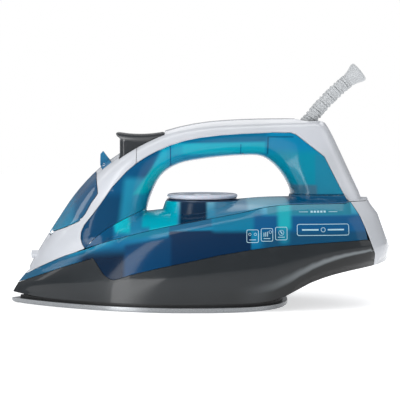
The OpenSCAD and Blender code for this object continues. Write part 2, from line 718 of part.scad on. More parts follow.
// A round bar bent along a path
module bent_bar(path, r, sides = 6) {
    last = len(path) - 1;
    loft([for (i = [0 : last])
        let (
            d = path[min(i + 1, last)] - path[max(i - 1, 0)], t = d / norm(d),
            n0 = cross(t, abs(t[2]) < 0.9 ? [0, 0, 1] : [1, 0, 0]), n = n0 / norm(n0), b = cross(n, t)
        )
        [for (k = [0 : sides - 1]) path[i] + r * (cos(360 * k / sides) * n - sin(360 * k / sides) * b)]]);
}
module spring(side) {
    turns = 6;
    coil_r = spring_r - spring_wire / 2;
    h = spring_top - pump_top - 2 * spring_wire - 0.1;
    bent_bar([for (i = [0 : 14 * turns]) let (a = 360 * i / 14)
        [pump_x + coil_r * cos(a), side * pump_y + coil_r * sin(a),
            pump_top + spring_wire + 0.05 + h * i / (14 * turns)]], spring_wire, 5);
}
module spray_spring() { color("Silver") spring(-1); }
module burst_spring() { color("Silver") spring(1); }
module spray_hose() {
    color("LightGray") bent_bar(smooth_line([
        [pump_x, -pump_y, pump_top - pump_h - 4.3], [pump_x - 3, -pump_y, pump_top - pump_h - 12],
        [-34 * kx, -10, 56 * kz], [-58 * kx, -5, 40 * kz], [nozzle_at[0] + 19, 0, nozzle_at[1]]], 5), 1.7);
}
module burst_hose() {
    color("LightGray") bent_bar(smooth_line([
        [pump_x, pump_y, pump_top - pump_h - 4.3], [pump_x - 3, pump_y, 62 * kz], [rod_x + 2, 4.8, 50 * kz],
        [rod_x + 2, 4.8, 34 * kz], [rod_x + 6, 12, casting_top + cover_t + 5],
        [rod_x + 6, 12, casting_top + cover_t + 0.3]], 5), 1.7);
}

// ---- cord outlet ------------------------------------------------------
guard_tilt = 53;           // angle of the guard above the horizontal
ball_at = at([114.5, 129]);
neck_r = guard_r - 1;
trunnion_r = 2.5;          // pins that the ball tilts on
trunnion_end = ball_r + 1.5;
fork_half = 5;             // half-length of the fork's cheeks along the body
module on_guard() {
    translate([ball_at[0], 0, ball_at[1]]) rotate([0, 90 - guard_tilt, 0]) children();
}
module swivel_ball() {
    color("WhiteSmoke") on_guard() difference() {
        union() {
            sphere(r = ball_r);
            across([0, 0], trunnion_r, -trunnion_end, trunnion_end);
        }
        translate([0, 0, -2 * ball_r]) cylinder(r = neck_r + run_gap, h = 4 * ball_r);
    }
}
module swivel_socket() {
    color("LightGray") translate([ball_at[0], 0, ball_at[1]]) difference() {
        translate([-fork_half, -ball_r - 2, -ball_r - 3]) cube([2 * fork_half, 2 * ball_r + 4, ball_r + 7]);
        sphere(r = ball_r + run_gap);
        across([0, 0], trunnion_r + run_gap, -far, far);
        translate([-far / 2, -neck_r, -ball_r - 1]) cube([far, 2 * neck_r, far]);
        translate([0, 0, -2 * ball_r]) cylinder(r = lead_r + 1.2, h = 2 * ball_r);
    }
}
bend = 14;                 // angle that the guard droops along its length
bend_r = (guard_l - 14) / (bend * PI / 180);
flare_r = guard_r + 2.5;
collar = 0.3;              // how far the guard's two ends stand out from its bent stretch
foot_end = ball_r + 3;
end_l = 11;
module tube_end(points) {
    rotate_extrude() polygon(points);
}
module guard_foot() {
    color("WhiteSmoke") on_guard()
        tube_end([[lead_r, -4], [neck_r, -4], [neck_r, ball_r - 1], [guard_r + collar, ball_r - 1],
            [guard_r + collar, foot_end], [lead_r, foot_end]]);
}
// Moves to the middle of the guard's bend, turned so that the bend starts at the foot
module on_bend() {
    on_guard() translate([bend_r, 0, foot_end]) children();
}
module cord_guard() {
    color("WhiteSmoke") on_bend() rotate([90, 0, 0]) rotate([0, 0, 180 - bend])
        rotate_extrude(angle = bend, $fn = 300) translate([bend_r, 0]) difference() {
            circle(r = guard_r, $fn = 48);
            circle(r = lead_r, $fn = 48);
        }
}
module guard_end() {
    color("WhiteSmoke") on_bend() rotate([0, bend, 0]) translate([-bend_r, 0, 0])
        tube_end([[lead_r, 0], [guard_r + collar, 0], [guard_r + collar, 3], [flare_r, 9],
            [flare_r, end_l], [lead_r, end_l]]);
}

// ---- wiring -----------------------------------------------------------
block_at = [136 * kx, 0, 66 * kz];
module terminal_block() {
    color("Ivory") translate(block_at) difference() {
        translate([-5, -15, -6]) cube([10, 30, 12]);
        for (k = [-1 : 1]) {
            translate([-6, 10 * k, 0]) rotate([0, 90, 0]) cylinder(r = 1.6, h = 12);
            translate([0, 10 * k, 0]) cylinder(r = 1.8, h = 7);
        }
    }
}
module cord_clamp() {
    color("Ivory") translate([132 * kx, 0, 92 * kz]) difference() {
        translate([-4, -9, -2]) cube([9, 18, 4]);
        translate([0, 0, -3]) cylinder(r = lead_r, h = 6);
    }
}
module wiring() {
    for (k = [-1 : 1])
        color(["RoyalBlue", "Goldenrod", "SaddleBrown"][k + 1]) {
            bent_bar(smooth_line([[ball_at[0], 2.2 * k, ball_at[1] - ball_r - 4],
                [120 * kx, 2.2 * k, 108 * kz], [131.6 * kx, 2.2 * k, 98 * kz], [132 * kx, 2.3 * k, 88 * kz],
                [138 * kx, 4 * k, 80 * kz], [147 * kx, 8 * k, 74 * kz], [148 * kx, 10 * k, 67 * kz],
                [block_at[0] + 5.3, 10 * k, block_at[2]]], 3), 0.85);
        }
}
module casting_screws() {
    color("Silver") for (v = screws) translate([v[0] * kx, v[1] * ky, casting_top + 0.1]) difference() {
        cylinder(r = 3.6, h = 2.2);
        translate([0, 0, 1.2]) cylinder(r = 1.6, h = 2, $fn = 6);
    }
}

soleplate();
heater_casting();
heating_element();
element_terminals();
chamber_cover();
gasket();
thermostat();
thermal_fuse();
valve_seat();
steam_valve_rod();
skirt();
tank_floor();
tank_lower();
tank_upper();
handle_lower();
handle_cover();
rear_cover();
nose_cover();
filler_door();
door_pin();
filler_seal();
filler_tray();
steam_selector();
selector_pin();
spray_nozzle();
spray_button();
burst_button();
spray_piston();
burst_piston();
spray_pump();
burst_pump();
spray_spring();
burst_spring();
spray_hose();
burst_hose();
dial();
dial_shaft();
dial_seat();
swivel_ball();
swivel_socket();
guard_foot();
cord_guard();
guard_end();
terminal_block();
cord_clamp();
wiring();
casting_screws();
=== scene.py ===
"""Looks of a steam iron: finishes, rounded shells, ribs, marks, light and camera round its fixed frame."""

import json
import math

import bmesh
import bpy
from mathutils import Matrix, Vector
from mathutils.bvhtree import BVHTree


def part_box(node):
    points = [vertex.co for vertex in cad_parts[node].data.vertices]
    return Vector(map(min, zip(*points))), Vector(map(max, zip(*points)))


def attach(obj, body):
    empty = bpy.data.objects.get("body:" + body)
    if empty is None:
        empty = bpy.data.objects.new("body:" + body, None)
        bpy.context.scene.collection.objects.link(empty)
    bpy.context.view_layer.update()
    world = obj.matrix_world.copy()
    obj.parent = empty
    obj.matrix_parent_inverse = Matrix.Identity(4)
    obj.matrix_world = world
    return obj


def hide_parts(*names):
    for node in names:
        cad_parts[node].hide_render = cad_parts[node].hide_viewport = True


bl_info = {
    "name": "Steam iron",
    "version": (1, 0, 0),
    "blender": (4, 5, 0),
    "location": "View3D > Sidebar > Iron",
    "description": "Builds the looks of a steam iron round its packed frame",
    "category": "Object",
}

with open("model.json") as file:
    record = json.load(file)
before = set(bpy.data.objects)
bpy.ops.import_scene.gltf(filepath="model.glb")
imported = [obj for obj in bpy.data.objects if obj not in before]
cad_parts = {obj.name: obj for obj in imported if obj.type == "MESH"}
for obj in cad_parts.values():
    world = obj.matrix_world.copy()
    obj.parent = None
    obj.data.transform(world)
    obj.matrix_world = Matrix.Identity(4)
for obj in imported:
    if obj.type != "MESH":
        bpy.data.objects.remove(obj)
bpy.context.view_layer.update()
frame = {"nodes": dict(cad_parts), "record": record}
MM = 0.001
INK = 0.02  # thickness of printed marks, in mm
AWAY = 0.2  # a place well outside the iron, in m
CLOUD = 0.24  # how far the flow cloud shifts the shade of the clear mouldings


# ---- finishes ---------------------------------------------------------------


def linear(code):
    """Linear colour of an sRGB hex code such as #1a2b3c."""
    parts = [int(code[i : i + 2], 16) / 255 for i in (1, 3, 5)]
    return [p / 12.92 if p <= 0.04045 else ((p + 0.055) / 1.055) ** 2.4 for p in parts] + [1.0]


def add(tree, kind, settings=None, **inputs):
    """Adds a shader node. An input can be a number, a colour, or another node's output."""
    node = tree.nodes.new(kind)
    for name, value in (settings or {}).items():
        setattr(node, name, value)
    for name, value in inputs.items():
        socket = node.inputs[int(name[1:]) if name[0] == "_" else name.replace("_", " ")]
        if isinstance(value, bpy.types.NodeSocket):
            tree.links.new(value, socket)
        else:
            socket.default_value = value
    return node


def blank(name):
    """An empty material, its node tree and its place in the object's own coordinates."""
    material = bpy.data.materials.new(name)
    material.use_nodes = True
    tree = material.node_tree
    tree.nodes.clear()
    place = add(tree, "ShaderNodeTexCoord").outputs["Object"]
    return material, tree, place


def finish(tree, **inputs):
    """Ends a material with a shader that takes these inputs."""
    shader = add(tree, "ShaderNodeBsdfPrincipled", **inputs)
    add(tree, "ShaderNodeOutputMaterial", Surface=shader.outputs["BSDF"])
    return shader


def grain(tree, place, size_mm, depth_mm, detail=3.0, strength=0.4):
    """A fine bump whose spots are size_mm wide, and the noise that drives it."""
    noise = add(tree, "ShaderNodeTexNoise", Vector=place, Scale=1000 / size_mm, Detail=detail)
    bump = add(
        tree, "ShaderNodeBump", Strength=strength, Distance=depth_mm * MM, Height=noise.outputs["Fac"]
    )
    return noise.outputs["Fac"], bump.outputs["Normal"]


def between(tree, fac, low, high):
    """Maps noise, most of which lies between 0.3 and 0.7, to the range low..high."""
    return add(tree, "ShaderNodeMapRange", _0=fac, _1=0.3, _2=0.7, _3=low, _4=high).outputs[0]


def shades(tree, fac, stops):
    """A colour ramp through (position, hex) stops."""
    ramp = add(tree, "ShaderNodeValToRGB", Fac=fac)
    elements = ramp.color_ramp.elements
    while len(elements) < len(stops):
        elements.new(0.5)
    for element, (position, code) in zip(elements, stops):
        element.position = position
        element.color = linear(code)
    return ramp.outputs["Color"]


def moulded(name, code, dark, roughness, size_mm=0.5, depth_mm=0.01, coat=0.0, specular=0.5):
    """Injection-moulded plastic: an even colour with a faint flow cloud and a fine spark-eroded grain."""
    material, tree, place = blank(name)
    cloud = add(tree, "ShaderNodeTexNoise", Vector=place, Scale=22.0, Detail=2.0).outputs["Fac"]
    spots, normal = grain(tree, place, size_mm, depth_mm)
    finish(
        tree,
        Base_Color=shades(tree, cloud, [(0.35, dark), (0.65, code)]),
        Roughness=between(tree, spots, roughness - 0.03, roughness + 0.03),
        IOR=1.5,
        Normal=normal,
        Coat_Weight=coat,
        Coat_Roughness=0.06,
        Specular_IOR_Level=specular,
    )
    return material


def ramp_between(tree, value, start, end):
    """Rises smoothly from 0 at start to 1 at end."""
    return add(
        tree,
        "ShaderNodeMapRange",
        {"interpolation_type": "SMOOTHSTEP"},
        _0=value,
        _1=start,
        _2=end,
        _3=0.0,
        _4=1.0,
    ).outputs[0]


def calc(tree, operation, *values):
    """The result of one Math node."""
    inputs = {f"_{i}": value for i, value in enumerate(values)}
    return add(tree, "ShaderNodeMath", {"operation": operation}, **inputs).outputs[0]


def behind(tree, parts, colour, code, x, z, soft=1.5, amount=1.0, lean=0.0, climb=0.0):
    """Paints a wall, rib or lit gap that stands inside the clear moulding, with the light and shade that show
    through it, in mm along x and z.

    lean slants its upright edges and climb its level ones, from its lower front corner.
    """
    across, up = parts.outputs["X"], parts.outputs["Z"]
    if lean:
        shift = calc(tree, "MULTIPLY_ADD", up, -lean, lean * z[0] * MM)
        across = calc(tree, "ADD", across, shift)
    if climb:
        shift = calc(tree, "MULTIPLY_ADD", parts.outputs["X"], -climb, climb * x[0] * MM)
        up = calc(tree, "ADD", up, shift)
    mask = amount
    for value, (low, high) in ((across, x), (up, z)):
        rise = ramp_between(tree, value, (low - soft) * MM, (low + soft) * MM)
        fall = ramp_between(tree, value, (high + soft) * MM, (high - soft) * MM)
        mask = calc(tree, "MULTIPLY", mask, calc(tree, "MULTIPLY", rise, fall))
    mix = add(tree, "ShaderNodeMix", {"data_type": "RGBA"}, _0=mask, _6=colour, _7=linear(code))
    return mix.outputs[2]


def clear_blue(name, height, stops, inside, transmission, roughness=0.05, coat=0.0, specular=0.35):
    """Clear tinted polypropylene: a colour that shifts with height, and painted patches for its inner walls
    and lit gaps, with the light and shade that show through.
    """
    material, tree, place = blank(name)
    parts = add(tree, "ShaderNodeSeparateXYZ", Vector=place)
    cloud = add(tree, "ShaderNodeTexNoise", Vector=place, Scale=24.0, Detail=1.5, Distortion=0.6)
    rise = add(
        tree,
        "ShaderNodeMapRange",
        _0=parts.outputs["Z"],
        _1=height[0] * MM,
        _2=height[1] * MM,
        _3=-CLOUD / 2,
        _4=1 - CLOUD / 2,
    )
    tone = calc(tree, "MULTIPLY_ADD", cloud.outputs["Fac"], CLOUD, rise.outputs[0])
    colour = shades(tree, tone, stops)
    for code, x, z, options in inside:
        colour = behind(tree, parts, colour, code, x, z, **options)
    spots, normal = grain(tree, place, 9.0, 0.04, detail=1.0, strength=0.2)
    finish(
        tree,
        Base_Color=colour,
        Roughness=between(tree, spots, roughness, roughness + 0.03),
        IOR=1.49,
        Transmission_Weight=transmission,
        Specular_IOR_Level=specular,
        Coat_Weight=coat,
        Coat_Roughness=0.05,
        Normal=normal,
    )
    return material


# What shows through the clear mouldings, painted with its light and shade: colour, extent along x, extent
# along z, options.
TANK_INSIDE_LIGHT_AND_SHADE = (
    # the steel-blue nose wedge and, behind it, painted shade over the pump chamber
    ("#205f81", (-110, -52), (10, 60), {"soft": 6.0}),
    ("#001e38", (-50, -12), (12, 40), {"soft": 5.0, "climb": 0.12}),
    # lit gap in front of the water chamber
    ("#007a98", (-24, 16.5), (50, 68), {"soft": 1.6, "climb": 0.16}),
    ("#0f90b2", (-60, -24), (38, 52), {"soft": 4.0, "climb": 0.3}),
    # the water chamber: dark below, with a step at its front
    ("#002a4d", (16.5, 76), (20, 58.5), {"soft": 1.2, "climb": 0.03}),
    ("#003b63", (-16, 18), (20, 47.5), {"soft": 2.0, "climb": 0.22}),
    ("#14648a", (16.5, 48), (58.5, 74), {"soft": 1.2, "climb": 0.1}),
    ("#00779b", (48, 84), (58.5, 80), {"soft": 2.5}),
    # rear of the tank
    ("#0c4c70", (84, 170), (38, 61), {"soft": 4.0}),
    ("#005588", (78, 170), (58, 70), {"soft": 2.0}),
    ("#1f8099", (88, 150), (70, 80), {"soft": 1.0}),
    ("#16a8b5", (95.5, 105), (60, 79), {"soft": 2.2}),
    ("#209db8", (97, 103), (50, 60), {"soft": 3.0, "amount": 0.6}),
)
TANK_TOP_INSIDE_LIGHT_AND_SHADE = (
    ("#00a9bb", (2, 22), (58, 84), {"soft": 1.4}),
    ("#00243f", (24, 44), (62, 80), {"soft": 1.6}),
    ("#3b7999", (50, 74), (68, 80), {"soft": 2.0}),
    ("#03aebd", (-24, -12), (56, 72), {"soft": 2.2, "lean": -0.15}),
    ("#207ca2", (-12, -4), (50, 84), {"soft": 1.6}),
    ("#00a4b8", (-4, 22), (60, 73), {"soft": 1.6, "climb": 0.12}),
    ("#00456b", (-44, -25), (40, 74), {"soft": 2.0}),
    ("#004f76", (104, 152), (74, 84), {"soft": 2.0}),
)
HANDLE_INSIDE_LIGHT_AND_SHADE = (
    # front column: dark in front, lit strip along the finger side
    ("#003e63", (-60, -24), (40, 92), {"soft": 3.0, "lean": 0.32}),
    ("#034f79", (-50, -6), (84, 118), {"soft": 4.0, "lean": 0.5}),
    ("#1d84a4", (-22, -3), (56, 96), {"soft": 3.0, "lean": 0.12}),
    ("#00a7b5", (-11, -1), (84, 110), {"soft": 1.8, "lean": 0.73}),
    ("#0a9fb9", (4, 15), (104, 118), {"soft": 2.0, "lean": 0.5}),
    # grip: a lit channel below a darker one
    ("#00688f", (16, 92), (121.5, 134), {"soft": 1.8, "climb": 0.02}),
    ("#0ca5ba", (20, 88), (113.5, 121.5), {"soft": 1.3, "climb": 0.02}),
    ("#118cac", (14, 26), (106, 122), {"soft": 2.0, "amount": 0.6}),
    ("#004d79", (16.5, 17.3), (104, 126), {"soft": 0.35}),
    ("#006088", (69.3, 70), (113, 121.5), {"soft": 0.35}),
    # rear column: a boxed liner, then the dark foot
    ("#0089a3", (90, 126), (88, 122), {"soft": 1.6}),
    ("#0080ab", (90, 126), (116, 134), {"soft": 4.0}),
    ("#19819f", (125, 152), (84, 114), {"soft": 1.0}),
    ("#005074", (89.4, 90.4), (114, 127), {"soft": 0.4}),
    ("#005074", (90, 109), (126.4, 127.2), {"soft": 0.4}),
    ("#005074", (90.5, 91.7), (88, 115), {"soft": 0.5, "lean": -0.75}),
    ("#3b6e87", (96, 126), (83, 91), {"soft": 1.4}),
    ("#116f8f", (90, 152), (76, 84), {"soft": 1.0}),
    ("#004a6c", (96, 150), (83.6, 84.4), {"soft": 0.35}),
)
DOOR_INSIDE_LIGHT_AND_SHADE = (
    ("#003f68", (-56, -34), (64, 92), {"soft": 3.0, "amount": 0.7}),
)


def satin_skirt(name, code):
    """Mineral-filled PBT: charcoal, with the sharp sheen of its moulded skin; painted shade darkens it where
    it turns under, and a painted highlight runs along the rear crease.
    """
    material, tree, place = blank(name)
    facing = add(tree, "ShaderNodeTexCoord").outputs["Normal"]
    down = add(tree, "ShaderNodeSeparateXYZ", Vector=facing).outputs["Z"]
    # Painted shade: the colour darkens towards #0d0f10 where the skin faces downward.
    under = ramp_between(tree, down, 0.02, -0.3)
    cloud = add(tree, "ShaderNodeTexNoise", Vector=place, Scale=30.0, Detail=2.0).outputs["Fac"]
    colour = shades(tree, cloud, [(0.35, "#1d2124"), (0.65, code)])
    shaded = add(tree, "ShaderNodeMix", {"data_type": "RGBA"}, _0=under, _6=colour, _7=linear("#0d0f10"))
    # A painted highlight along the long crease at the rear: a pale line that fades forward.
    far_x = add(tree, "ShaderNodeSeparateXYZ", Vector=place).outputs["X"]
    line = calc(
        tree,
        "MULTIPLY",
        calc(tree, "MULTIPLY", ramp_between(tree, down, -0.03, -0.11), ramp_between(tree, down, -0.2, -0.13)),
        ramp_between(tree, far_x, 60 * MM, 140 * MM),
    )
    with_painted_highlight = add(
        tree, "ShaderNodeMix", {"data_type": "RGBA"}, _0=line, _6=shaded.outputs[2], _7=linear("#6d7376")
    )
    spots, normal = grain(tree, place, 0.45, 0.008)
    finish(
        tree,
        Base_Color=with_painted_highlight.outputs[2],
        Roughness=between(tree, spots, 0.38, 0.44),
        IOR=1.5,
        Specular_IOR_Level=0.15,
        Coat_Weight=0.5,
        Coat_Roughness=0.07,
        Normal=normal,
    )
    return material


def metal(name, code, dark, roughness, size_mm=0.8, stretch=(1, 1, 1), depth_mm=0.01):
    """Bare or coated metal, with tool marks along one axis where stretch says so."""
    material, tree, place = blank(name)
    aligned = add(tree, "ShaderNodeMapping", Vector=place)
    aligned.inputs["Scale"].default_value = stretch
    spots, normal = grain(tree, aligned.outputs["Vector"], size_mm, depth_mm, detail=4.0)
    finish(
        tree,
        Base_Color=shades(tree, spots, [(0.3, dark), (0.7, code)]),
        Metallic=1.0,
        Roughness=between(tree, spots, roughness - 0.05, roughness + 0.08),
        Normal=normal,
    )
    return material


def ceramic_coat():
    """Sprayed ceramic on aluminium: pale satin grey with a fine metallic sparkle."""
    material, tree, place = blank("ceramic_coat")
    spots, normal = grain(tree, place, 0.35, 0.012, detail=2.0)
    finish(
        tree,
        Base_Color=shades(tree, spots, [(0.3, "#7e8184"), (0.7, "#96999c")]),
        Metallic=0.55,
        Roughness=between(tree, spots, 0.24, 0.34),
        Coat_Weight=0.4,
        Coat_Roughness=0.15,
        Normal=normal,
    )
    return material


MATERIALS = {}


def make_materials(colours):
    """Makes every finish of the iron."""
    m = MATERIALS
    # Gloss ABS of the covers: bright, with soft long highlights.
    m["white_abs"] = moulded("white_gloss_abs", colours.white, "#b3b6bb", 0.2, 0.9, 0.004, coat=0.4)
    # Mineral-filled PBT skirt: charcoal, satin, so that lights spread into broad streaks.
    m["skirt_pbt"] = satin_skirt("satin_pbt_charcoal", colours.skirt)
    m["button_abs"] = moulded(
        "satin_abs_grey", "#26292c", "#222528", 0.34, 0.6, 0.006, coat=1.0, specular=0.2
    )
    m["dial_abs"] = moulded("gloss_abs_lilac", "#c6c8d2", "#bcbecb", 0.24, 0.8, 0.004, coat=0.3)
    m["guard_pvc"] = moulded("soft_pvc_grey", "#b0b3b5", "#a8abad", 0.42, 1.2, 0.003)
    # Deep blue polycarbonate: glossy, and dark because it is solid through.
    m["lever_pc"] = clear_blue(
        "deep_blue_pc", (90, 118), [(0.1, "#004a71"), (0.9, "#227098")], (), 0.1, 0.14, coat=0.3
    )
    m["print_white"] = moulded("pad_print_white", "#a9ccd9", "#9dc2d0", 0.45, 0.3, 0.004)
    m["print_grey"] = moulded("pad_print_grey", "#8c9196", "#7c8186", 0.5, 0.3, 0.004)
    m["navy_pp"] = moulded("navy_filled_pp", "#123a5c", "#0c2d4a", 0.35, 0.8, 0.01)
    m["seal_silicone"] = moulded("black_silicone", "#1c1d1f", "#141517", 0.5, 0.4, 0.02)
    m["inner_pbt"] = moulded("ivory_heatproof_pbt", "#dcd8c8", "#cbc6b4", 0.45, 0.7, 0.01)
    m["hose_silicone"] = moulded("milky_silicone", "#cfd6d8", "#bcc4c6", 0.35, 0.8, 0.01)
    m["wire_sleeve"] = moulded("wire_silicone", "#7a4a24", "#5f3819", 0.45, 0.5, 0.01)
    # Clear blue polypropylene of the tank: gloss over a dark inside painted with its shade, and painted light
    # where light comes through.
    m["tank_pp"] = clear_blue(
        "clear_blue_pp_tank",
        (20, 80),
        [(0.0, "#00355a"), (0.4, "#006390"), (0.75, "#138db4"), (1.0, "#4fa8c1")],
        TANK_INSIDE_LIGHT_AND_SHADE,
        0.2,
        0.1,
        specular=0.22,
    )
    m["tank_top_pp"] = clear_blue(
        "clear_blue_pp_tank_top",
        (55, 82),
        [(0.0, "#116c95"), (0.6, "#3689aa"), (1.0, "#74aec0")],
        TANK_TOP_INSIDE_LIGHT_AND_SHADE,
        0.1,
        0.16,
        specular=0.2,
    )
    m["handle_pp"] = clear_blue(
        "clear_blue_pp_handle",
        (50, 130),
        [(0.0, "#004c73"), (0.45, "#037199"), (1.0, "#038bae")],
        HANDLE_INSIDE_LIGHT_AND_SHADE,
        0.2,
        0.1,
        specular=0.25,
    )
    m["door_pp"] = clear_blue(
        "clear_blue_pp_door",
        (52, 100),
        [(0.0, "#0d85a6"), (0.5, "#006c94"), (1.0, "#004068")],
        DOOR_INSIDE_LIGHT_AND_SHADE,
        0.2,
        coat=0.6,
    )
    m["ceramic"] = ceramic_coat()
    m["cast_metal"] = metal("die_cast_aluminium", "#b3b4b6", "#94969a", 0.45, 1.2, depth_mm=0.05)
    m["steel"] = metal("bright_steel", "#c4c5c7", "#a9abae", 0.25, 0.6, (1, 1, 0.1))
    m["brass"] = metal("turned_brass", "#c9a55a", "#a98541", 0.28, 0.6, (1, 1, 0.1))
    m["sheath"] = metal("heat_dulled_steel", "#6b6460", "#4d4744", 0.45, 0.9)


# ---- meshes -----------------------------------------------------------------


def merged(node):
    """A joined-up copy of a CAD node's mesh."""
    mesh = bmesh.new()
    mesh.from_mesh(frame["nodes"][node].data)
    bmesh.ops.remove_doubles(mesh, verts=mesh.verts, dist=0.003 * MM)
    bmesh.ops.dissolve_degenerate(mesh, edges=mesh.edges, dist=0.002 * MM)
    return mesh


def keep(name, mesh, material, body, replaced=(), sharp=32, weighted=True):
    """Turns a bmesh into a finished piece that rides on a body, in place of the replaced nodes.

    Edges that turn by more than sharp degrees stay crisp.
    """
    data = bpy.data.meshes.new(name)
    mesh.to_mesh(data)
    mesh.free()
    data.materials.append(MATERIALS[material])
    for polygon in data.polygons:
        polygon.use_smooth = True
    data.set_sharp_from_angle(angle=math.radians(sharp))
    piece = bpy.data.objects.new(name, data)
    bpy.context.collection.objects.link(piece)
    if weighted:
        normals = piece.modifiers.new("even shading", "WEIGHTED_NORMAL")
        normals.keep_sharp = True
        normals.weight = 80
    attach(piece, body)
    if replaced:
        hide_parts(*replaced)


def soften(mesh, width_mm, angle):
    """Rounds the edges that turn by more than the angle."""
    turn = math.radians(angle)
    edges = [e for e in mesh.edges if len(e.link_faces) == 2 and e.calc_face_angle(0) > turn]
    bmesh.ops.bevel(
        mesh,
        geom=edges,
        offset=width_mm * MM,
        offset_type="OFFSET",
        segments=2,
        profile=0.5,
        affect="EDGES",
        clamp_overlap=True,
        material=-1,
    )


def flatten(mesh, angle=1.0):
    """Joins triangles that lie in one plane."""
    bmesh.ops.dissolve_limit(
        mesh,
        angle_limit=math.radians(angle),
        verts=mesh.verts,
        edges=mesh.edges,
        use_dissolve_boundaries=False,
    )


def ring_of(mesh, frame_matrix, radius, sides):
    """The vertices and edges of one circle, placed by a matrix."""
    verts = bmesh.ops.create_circle(mesh, segments=sides, radius=radius, matrix=frame_matrix)["verts"]
    return verts, list({e for v in verts for e in v.link_edges})


def sleeve(mesh, outer, inner, sides=32):
    """A hollow tube: bridges circles out along its outside and back along its bore.

    Each circle is (matrix, radius). Gives back the vertices of those outside.
    """
    rings = [ring_of(mesh, *place, sides) for place in outer + inner[::-1]]
    for (_, low), (_, high) in zip(rings, rings[1:] + rings[:1]):
        bmesh.ops.bridge_loops(mesh, edges=low + high)
    bmesh.ops.recalc_face_normals(mesh, faces=mesh.faces)
    return [verts for verts, _ in rings[: len(outer)]]


def lathe(mesh, profile, centre, steps=96):
    """Spins a profile of (radius, height) in mm about the upright axis through centre."""
    verts = [mesh.verts.new((centre[0] + r * MM, centre[1], z * MM)) for r, z in profile]
    edges = [mesh.edges.new(pair) for pair in zip(verts, verts[1:])]
    bmesh.ops.spin(
        mesh,
        geom=verts + edges,
        cent=(centre[0], centre[1], 0),
        axis=(0, 0, 1),
        angle=math.tau,
        steps=steps,
        use_merge=True,
    )
    bmesh.ops.remove_doubles(mesh, verts=mesh.verts, dist=0.002 * MM)
    bmesh.ops.recalc_face_normals(mesh, faces=mesh.faces)


def rounded_loop(x, y, corners, along=14, turn=6):
    """Points round a rectangle, x and y extents in mm, with one radius per corner from (x0, y0) on."""
    points = []
    spots = ((x[0], y[0], 180), (x[1], y[0], 270), (x[1], y[1], 0), (x[0], y[1], 90))
    for (cx, cy, start), radius in zip(spots, corners):
        mx = cx + radius * (1 if cx == x[0] else -1)
        my = cy + radius * (1 if cy == y[0] else -1)
        for step in range(turn + 1):
            angle = math.radians(start + 90 * step / turn)
            points.append((mx + radius * math.cos(angle), my + radius * math.sin(angle)))
        if start in (270, 90):
            continue
        # the long sides carry more points, because the top sags along them
        end = x[1] - corners[1] if start == 180 else x[0] + corners[3]
        first = points[-1]
        points += [(first[0] + (end - first[0]) * k / along, first[1]) for k in range(1, along)]
    return points


def upright(x, z, turned=0.0):
    """Lays a flat unit shape in the xz plane, with the extents x and z in mm."""
    across = (x[0] + x[1]) / 2
    up = (z[0] + z[1]) / 2
    size = Matrix.Diagonal((x[1] - x[0], z[1] - z[0], 1, 1))
    lie = Matrix.Rotation(math.pi / 2, 4, "X") @ Matrix.Rotation(turned, 4, "Z")
    return Matrix.Translation((across * MM, 0, up * MM)) @ lie @ size


def bar(mesh, x, z, turned=0.0):
    """A filled bar in the xz plane."""
    made = bmesh.ops.create_grid(
        mesh, x_segments=1, y_segments=1, size=0.5 * MM, matrix=upright(x, z, turned)
    )
    return made["verts"][0].link_faces[0]


def hollow(mesh, face, line):
    """Turns a filled shape into its outline."""
    bmesh.ops.inset_individual(mesh, faces=[face], thickness=line, use_even_offset=True)
    bmesh.ops.delete(mesh, geom=[face], context="FACES_ONLY")


def frame_of(mesh, x, z, corner, line):
    """An outlined rectangle with round corners."""
    face = bar(mesh, x, z)
    made = bmesh.ops.bevel(
        mesh,
        geom=list(face.verts),
        offset=corner * MM,
        offset_type="OFFSET",
        segments=4,
        profile=0.5,
        affect="VERTICES",
        clamp_overlap=True,
        material=-1,
    )
    whole = max({f for v in made["verts"] for f in v.link_faces}, key=lambda f: len(f.verts))
    hollow(mesh, whole, line)


def disc(mesh, x, z, radius, sides):
    """A filled circle in the xz plane."""
    place = upright((x - 0.5, x + 0.5), (z - 0.5, z + 0.5))
    made = bmesh.ops.create_circle(mesh, cap_ends=True, segments=sides, radius=radius * MM, matrix=place)
    return made["verts"]


def ring(mesh, x, z, radius, line):
    """An outlined circle."""
    hollow(mesh, disc(mesh, x, z, radius, sides=20)[0].link_faces[0], line)


def onto(tree, verts, side, proud_mm):
    """Lays flat printed marks against a wall, seen from the -Y side (-1) or the +Y side (1)."""
    for vert in verts:
        start = Vector((vert.co.x, side * AWAY, vert.co.z))
        place, out, _, _ = tree.ray_cast(start, Vector((0, -side, 0)))
        if place is None:
            raise RuntimeError(f"nothing behind the print at {start}")
        vert.co = place + out * proud_mm * MM


def ink(mesh):
    """Gives printed marks their thickness."""
    bmesh.ops.recalc_face_normals(mesh, faces=mesh.faces)
    bmesh.ops.solidify(mesh, geom=mesh.faces, thickness=INK * MM)


# ---- settings ---------------------------------------------------------------


class IronColours(bpy.types.PropertyGroup):
    """Colours of the moulded pieces, as sRGB hex codes"""

    white: bpy.props.StringProperty(name="Covers", description="Colour of the covers", default="#bbbec4")
    skirt: bpy.props.StringProperty(name="Skirt", description="Colour of the skirt", default="#212528")


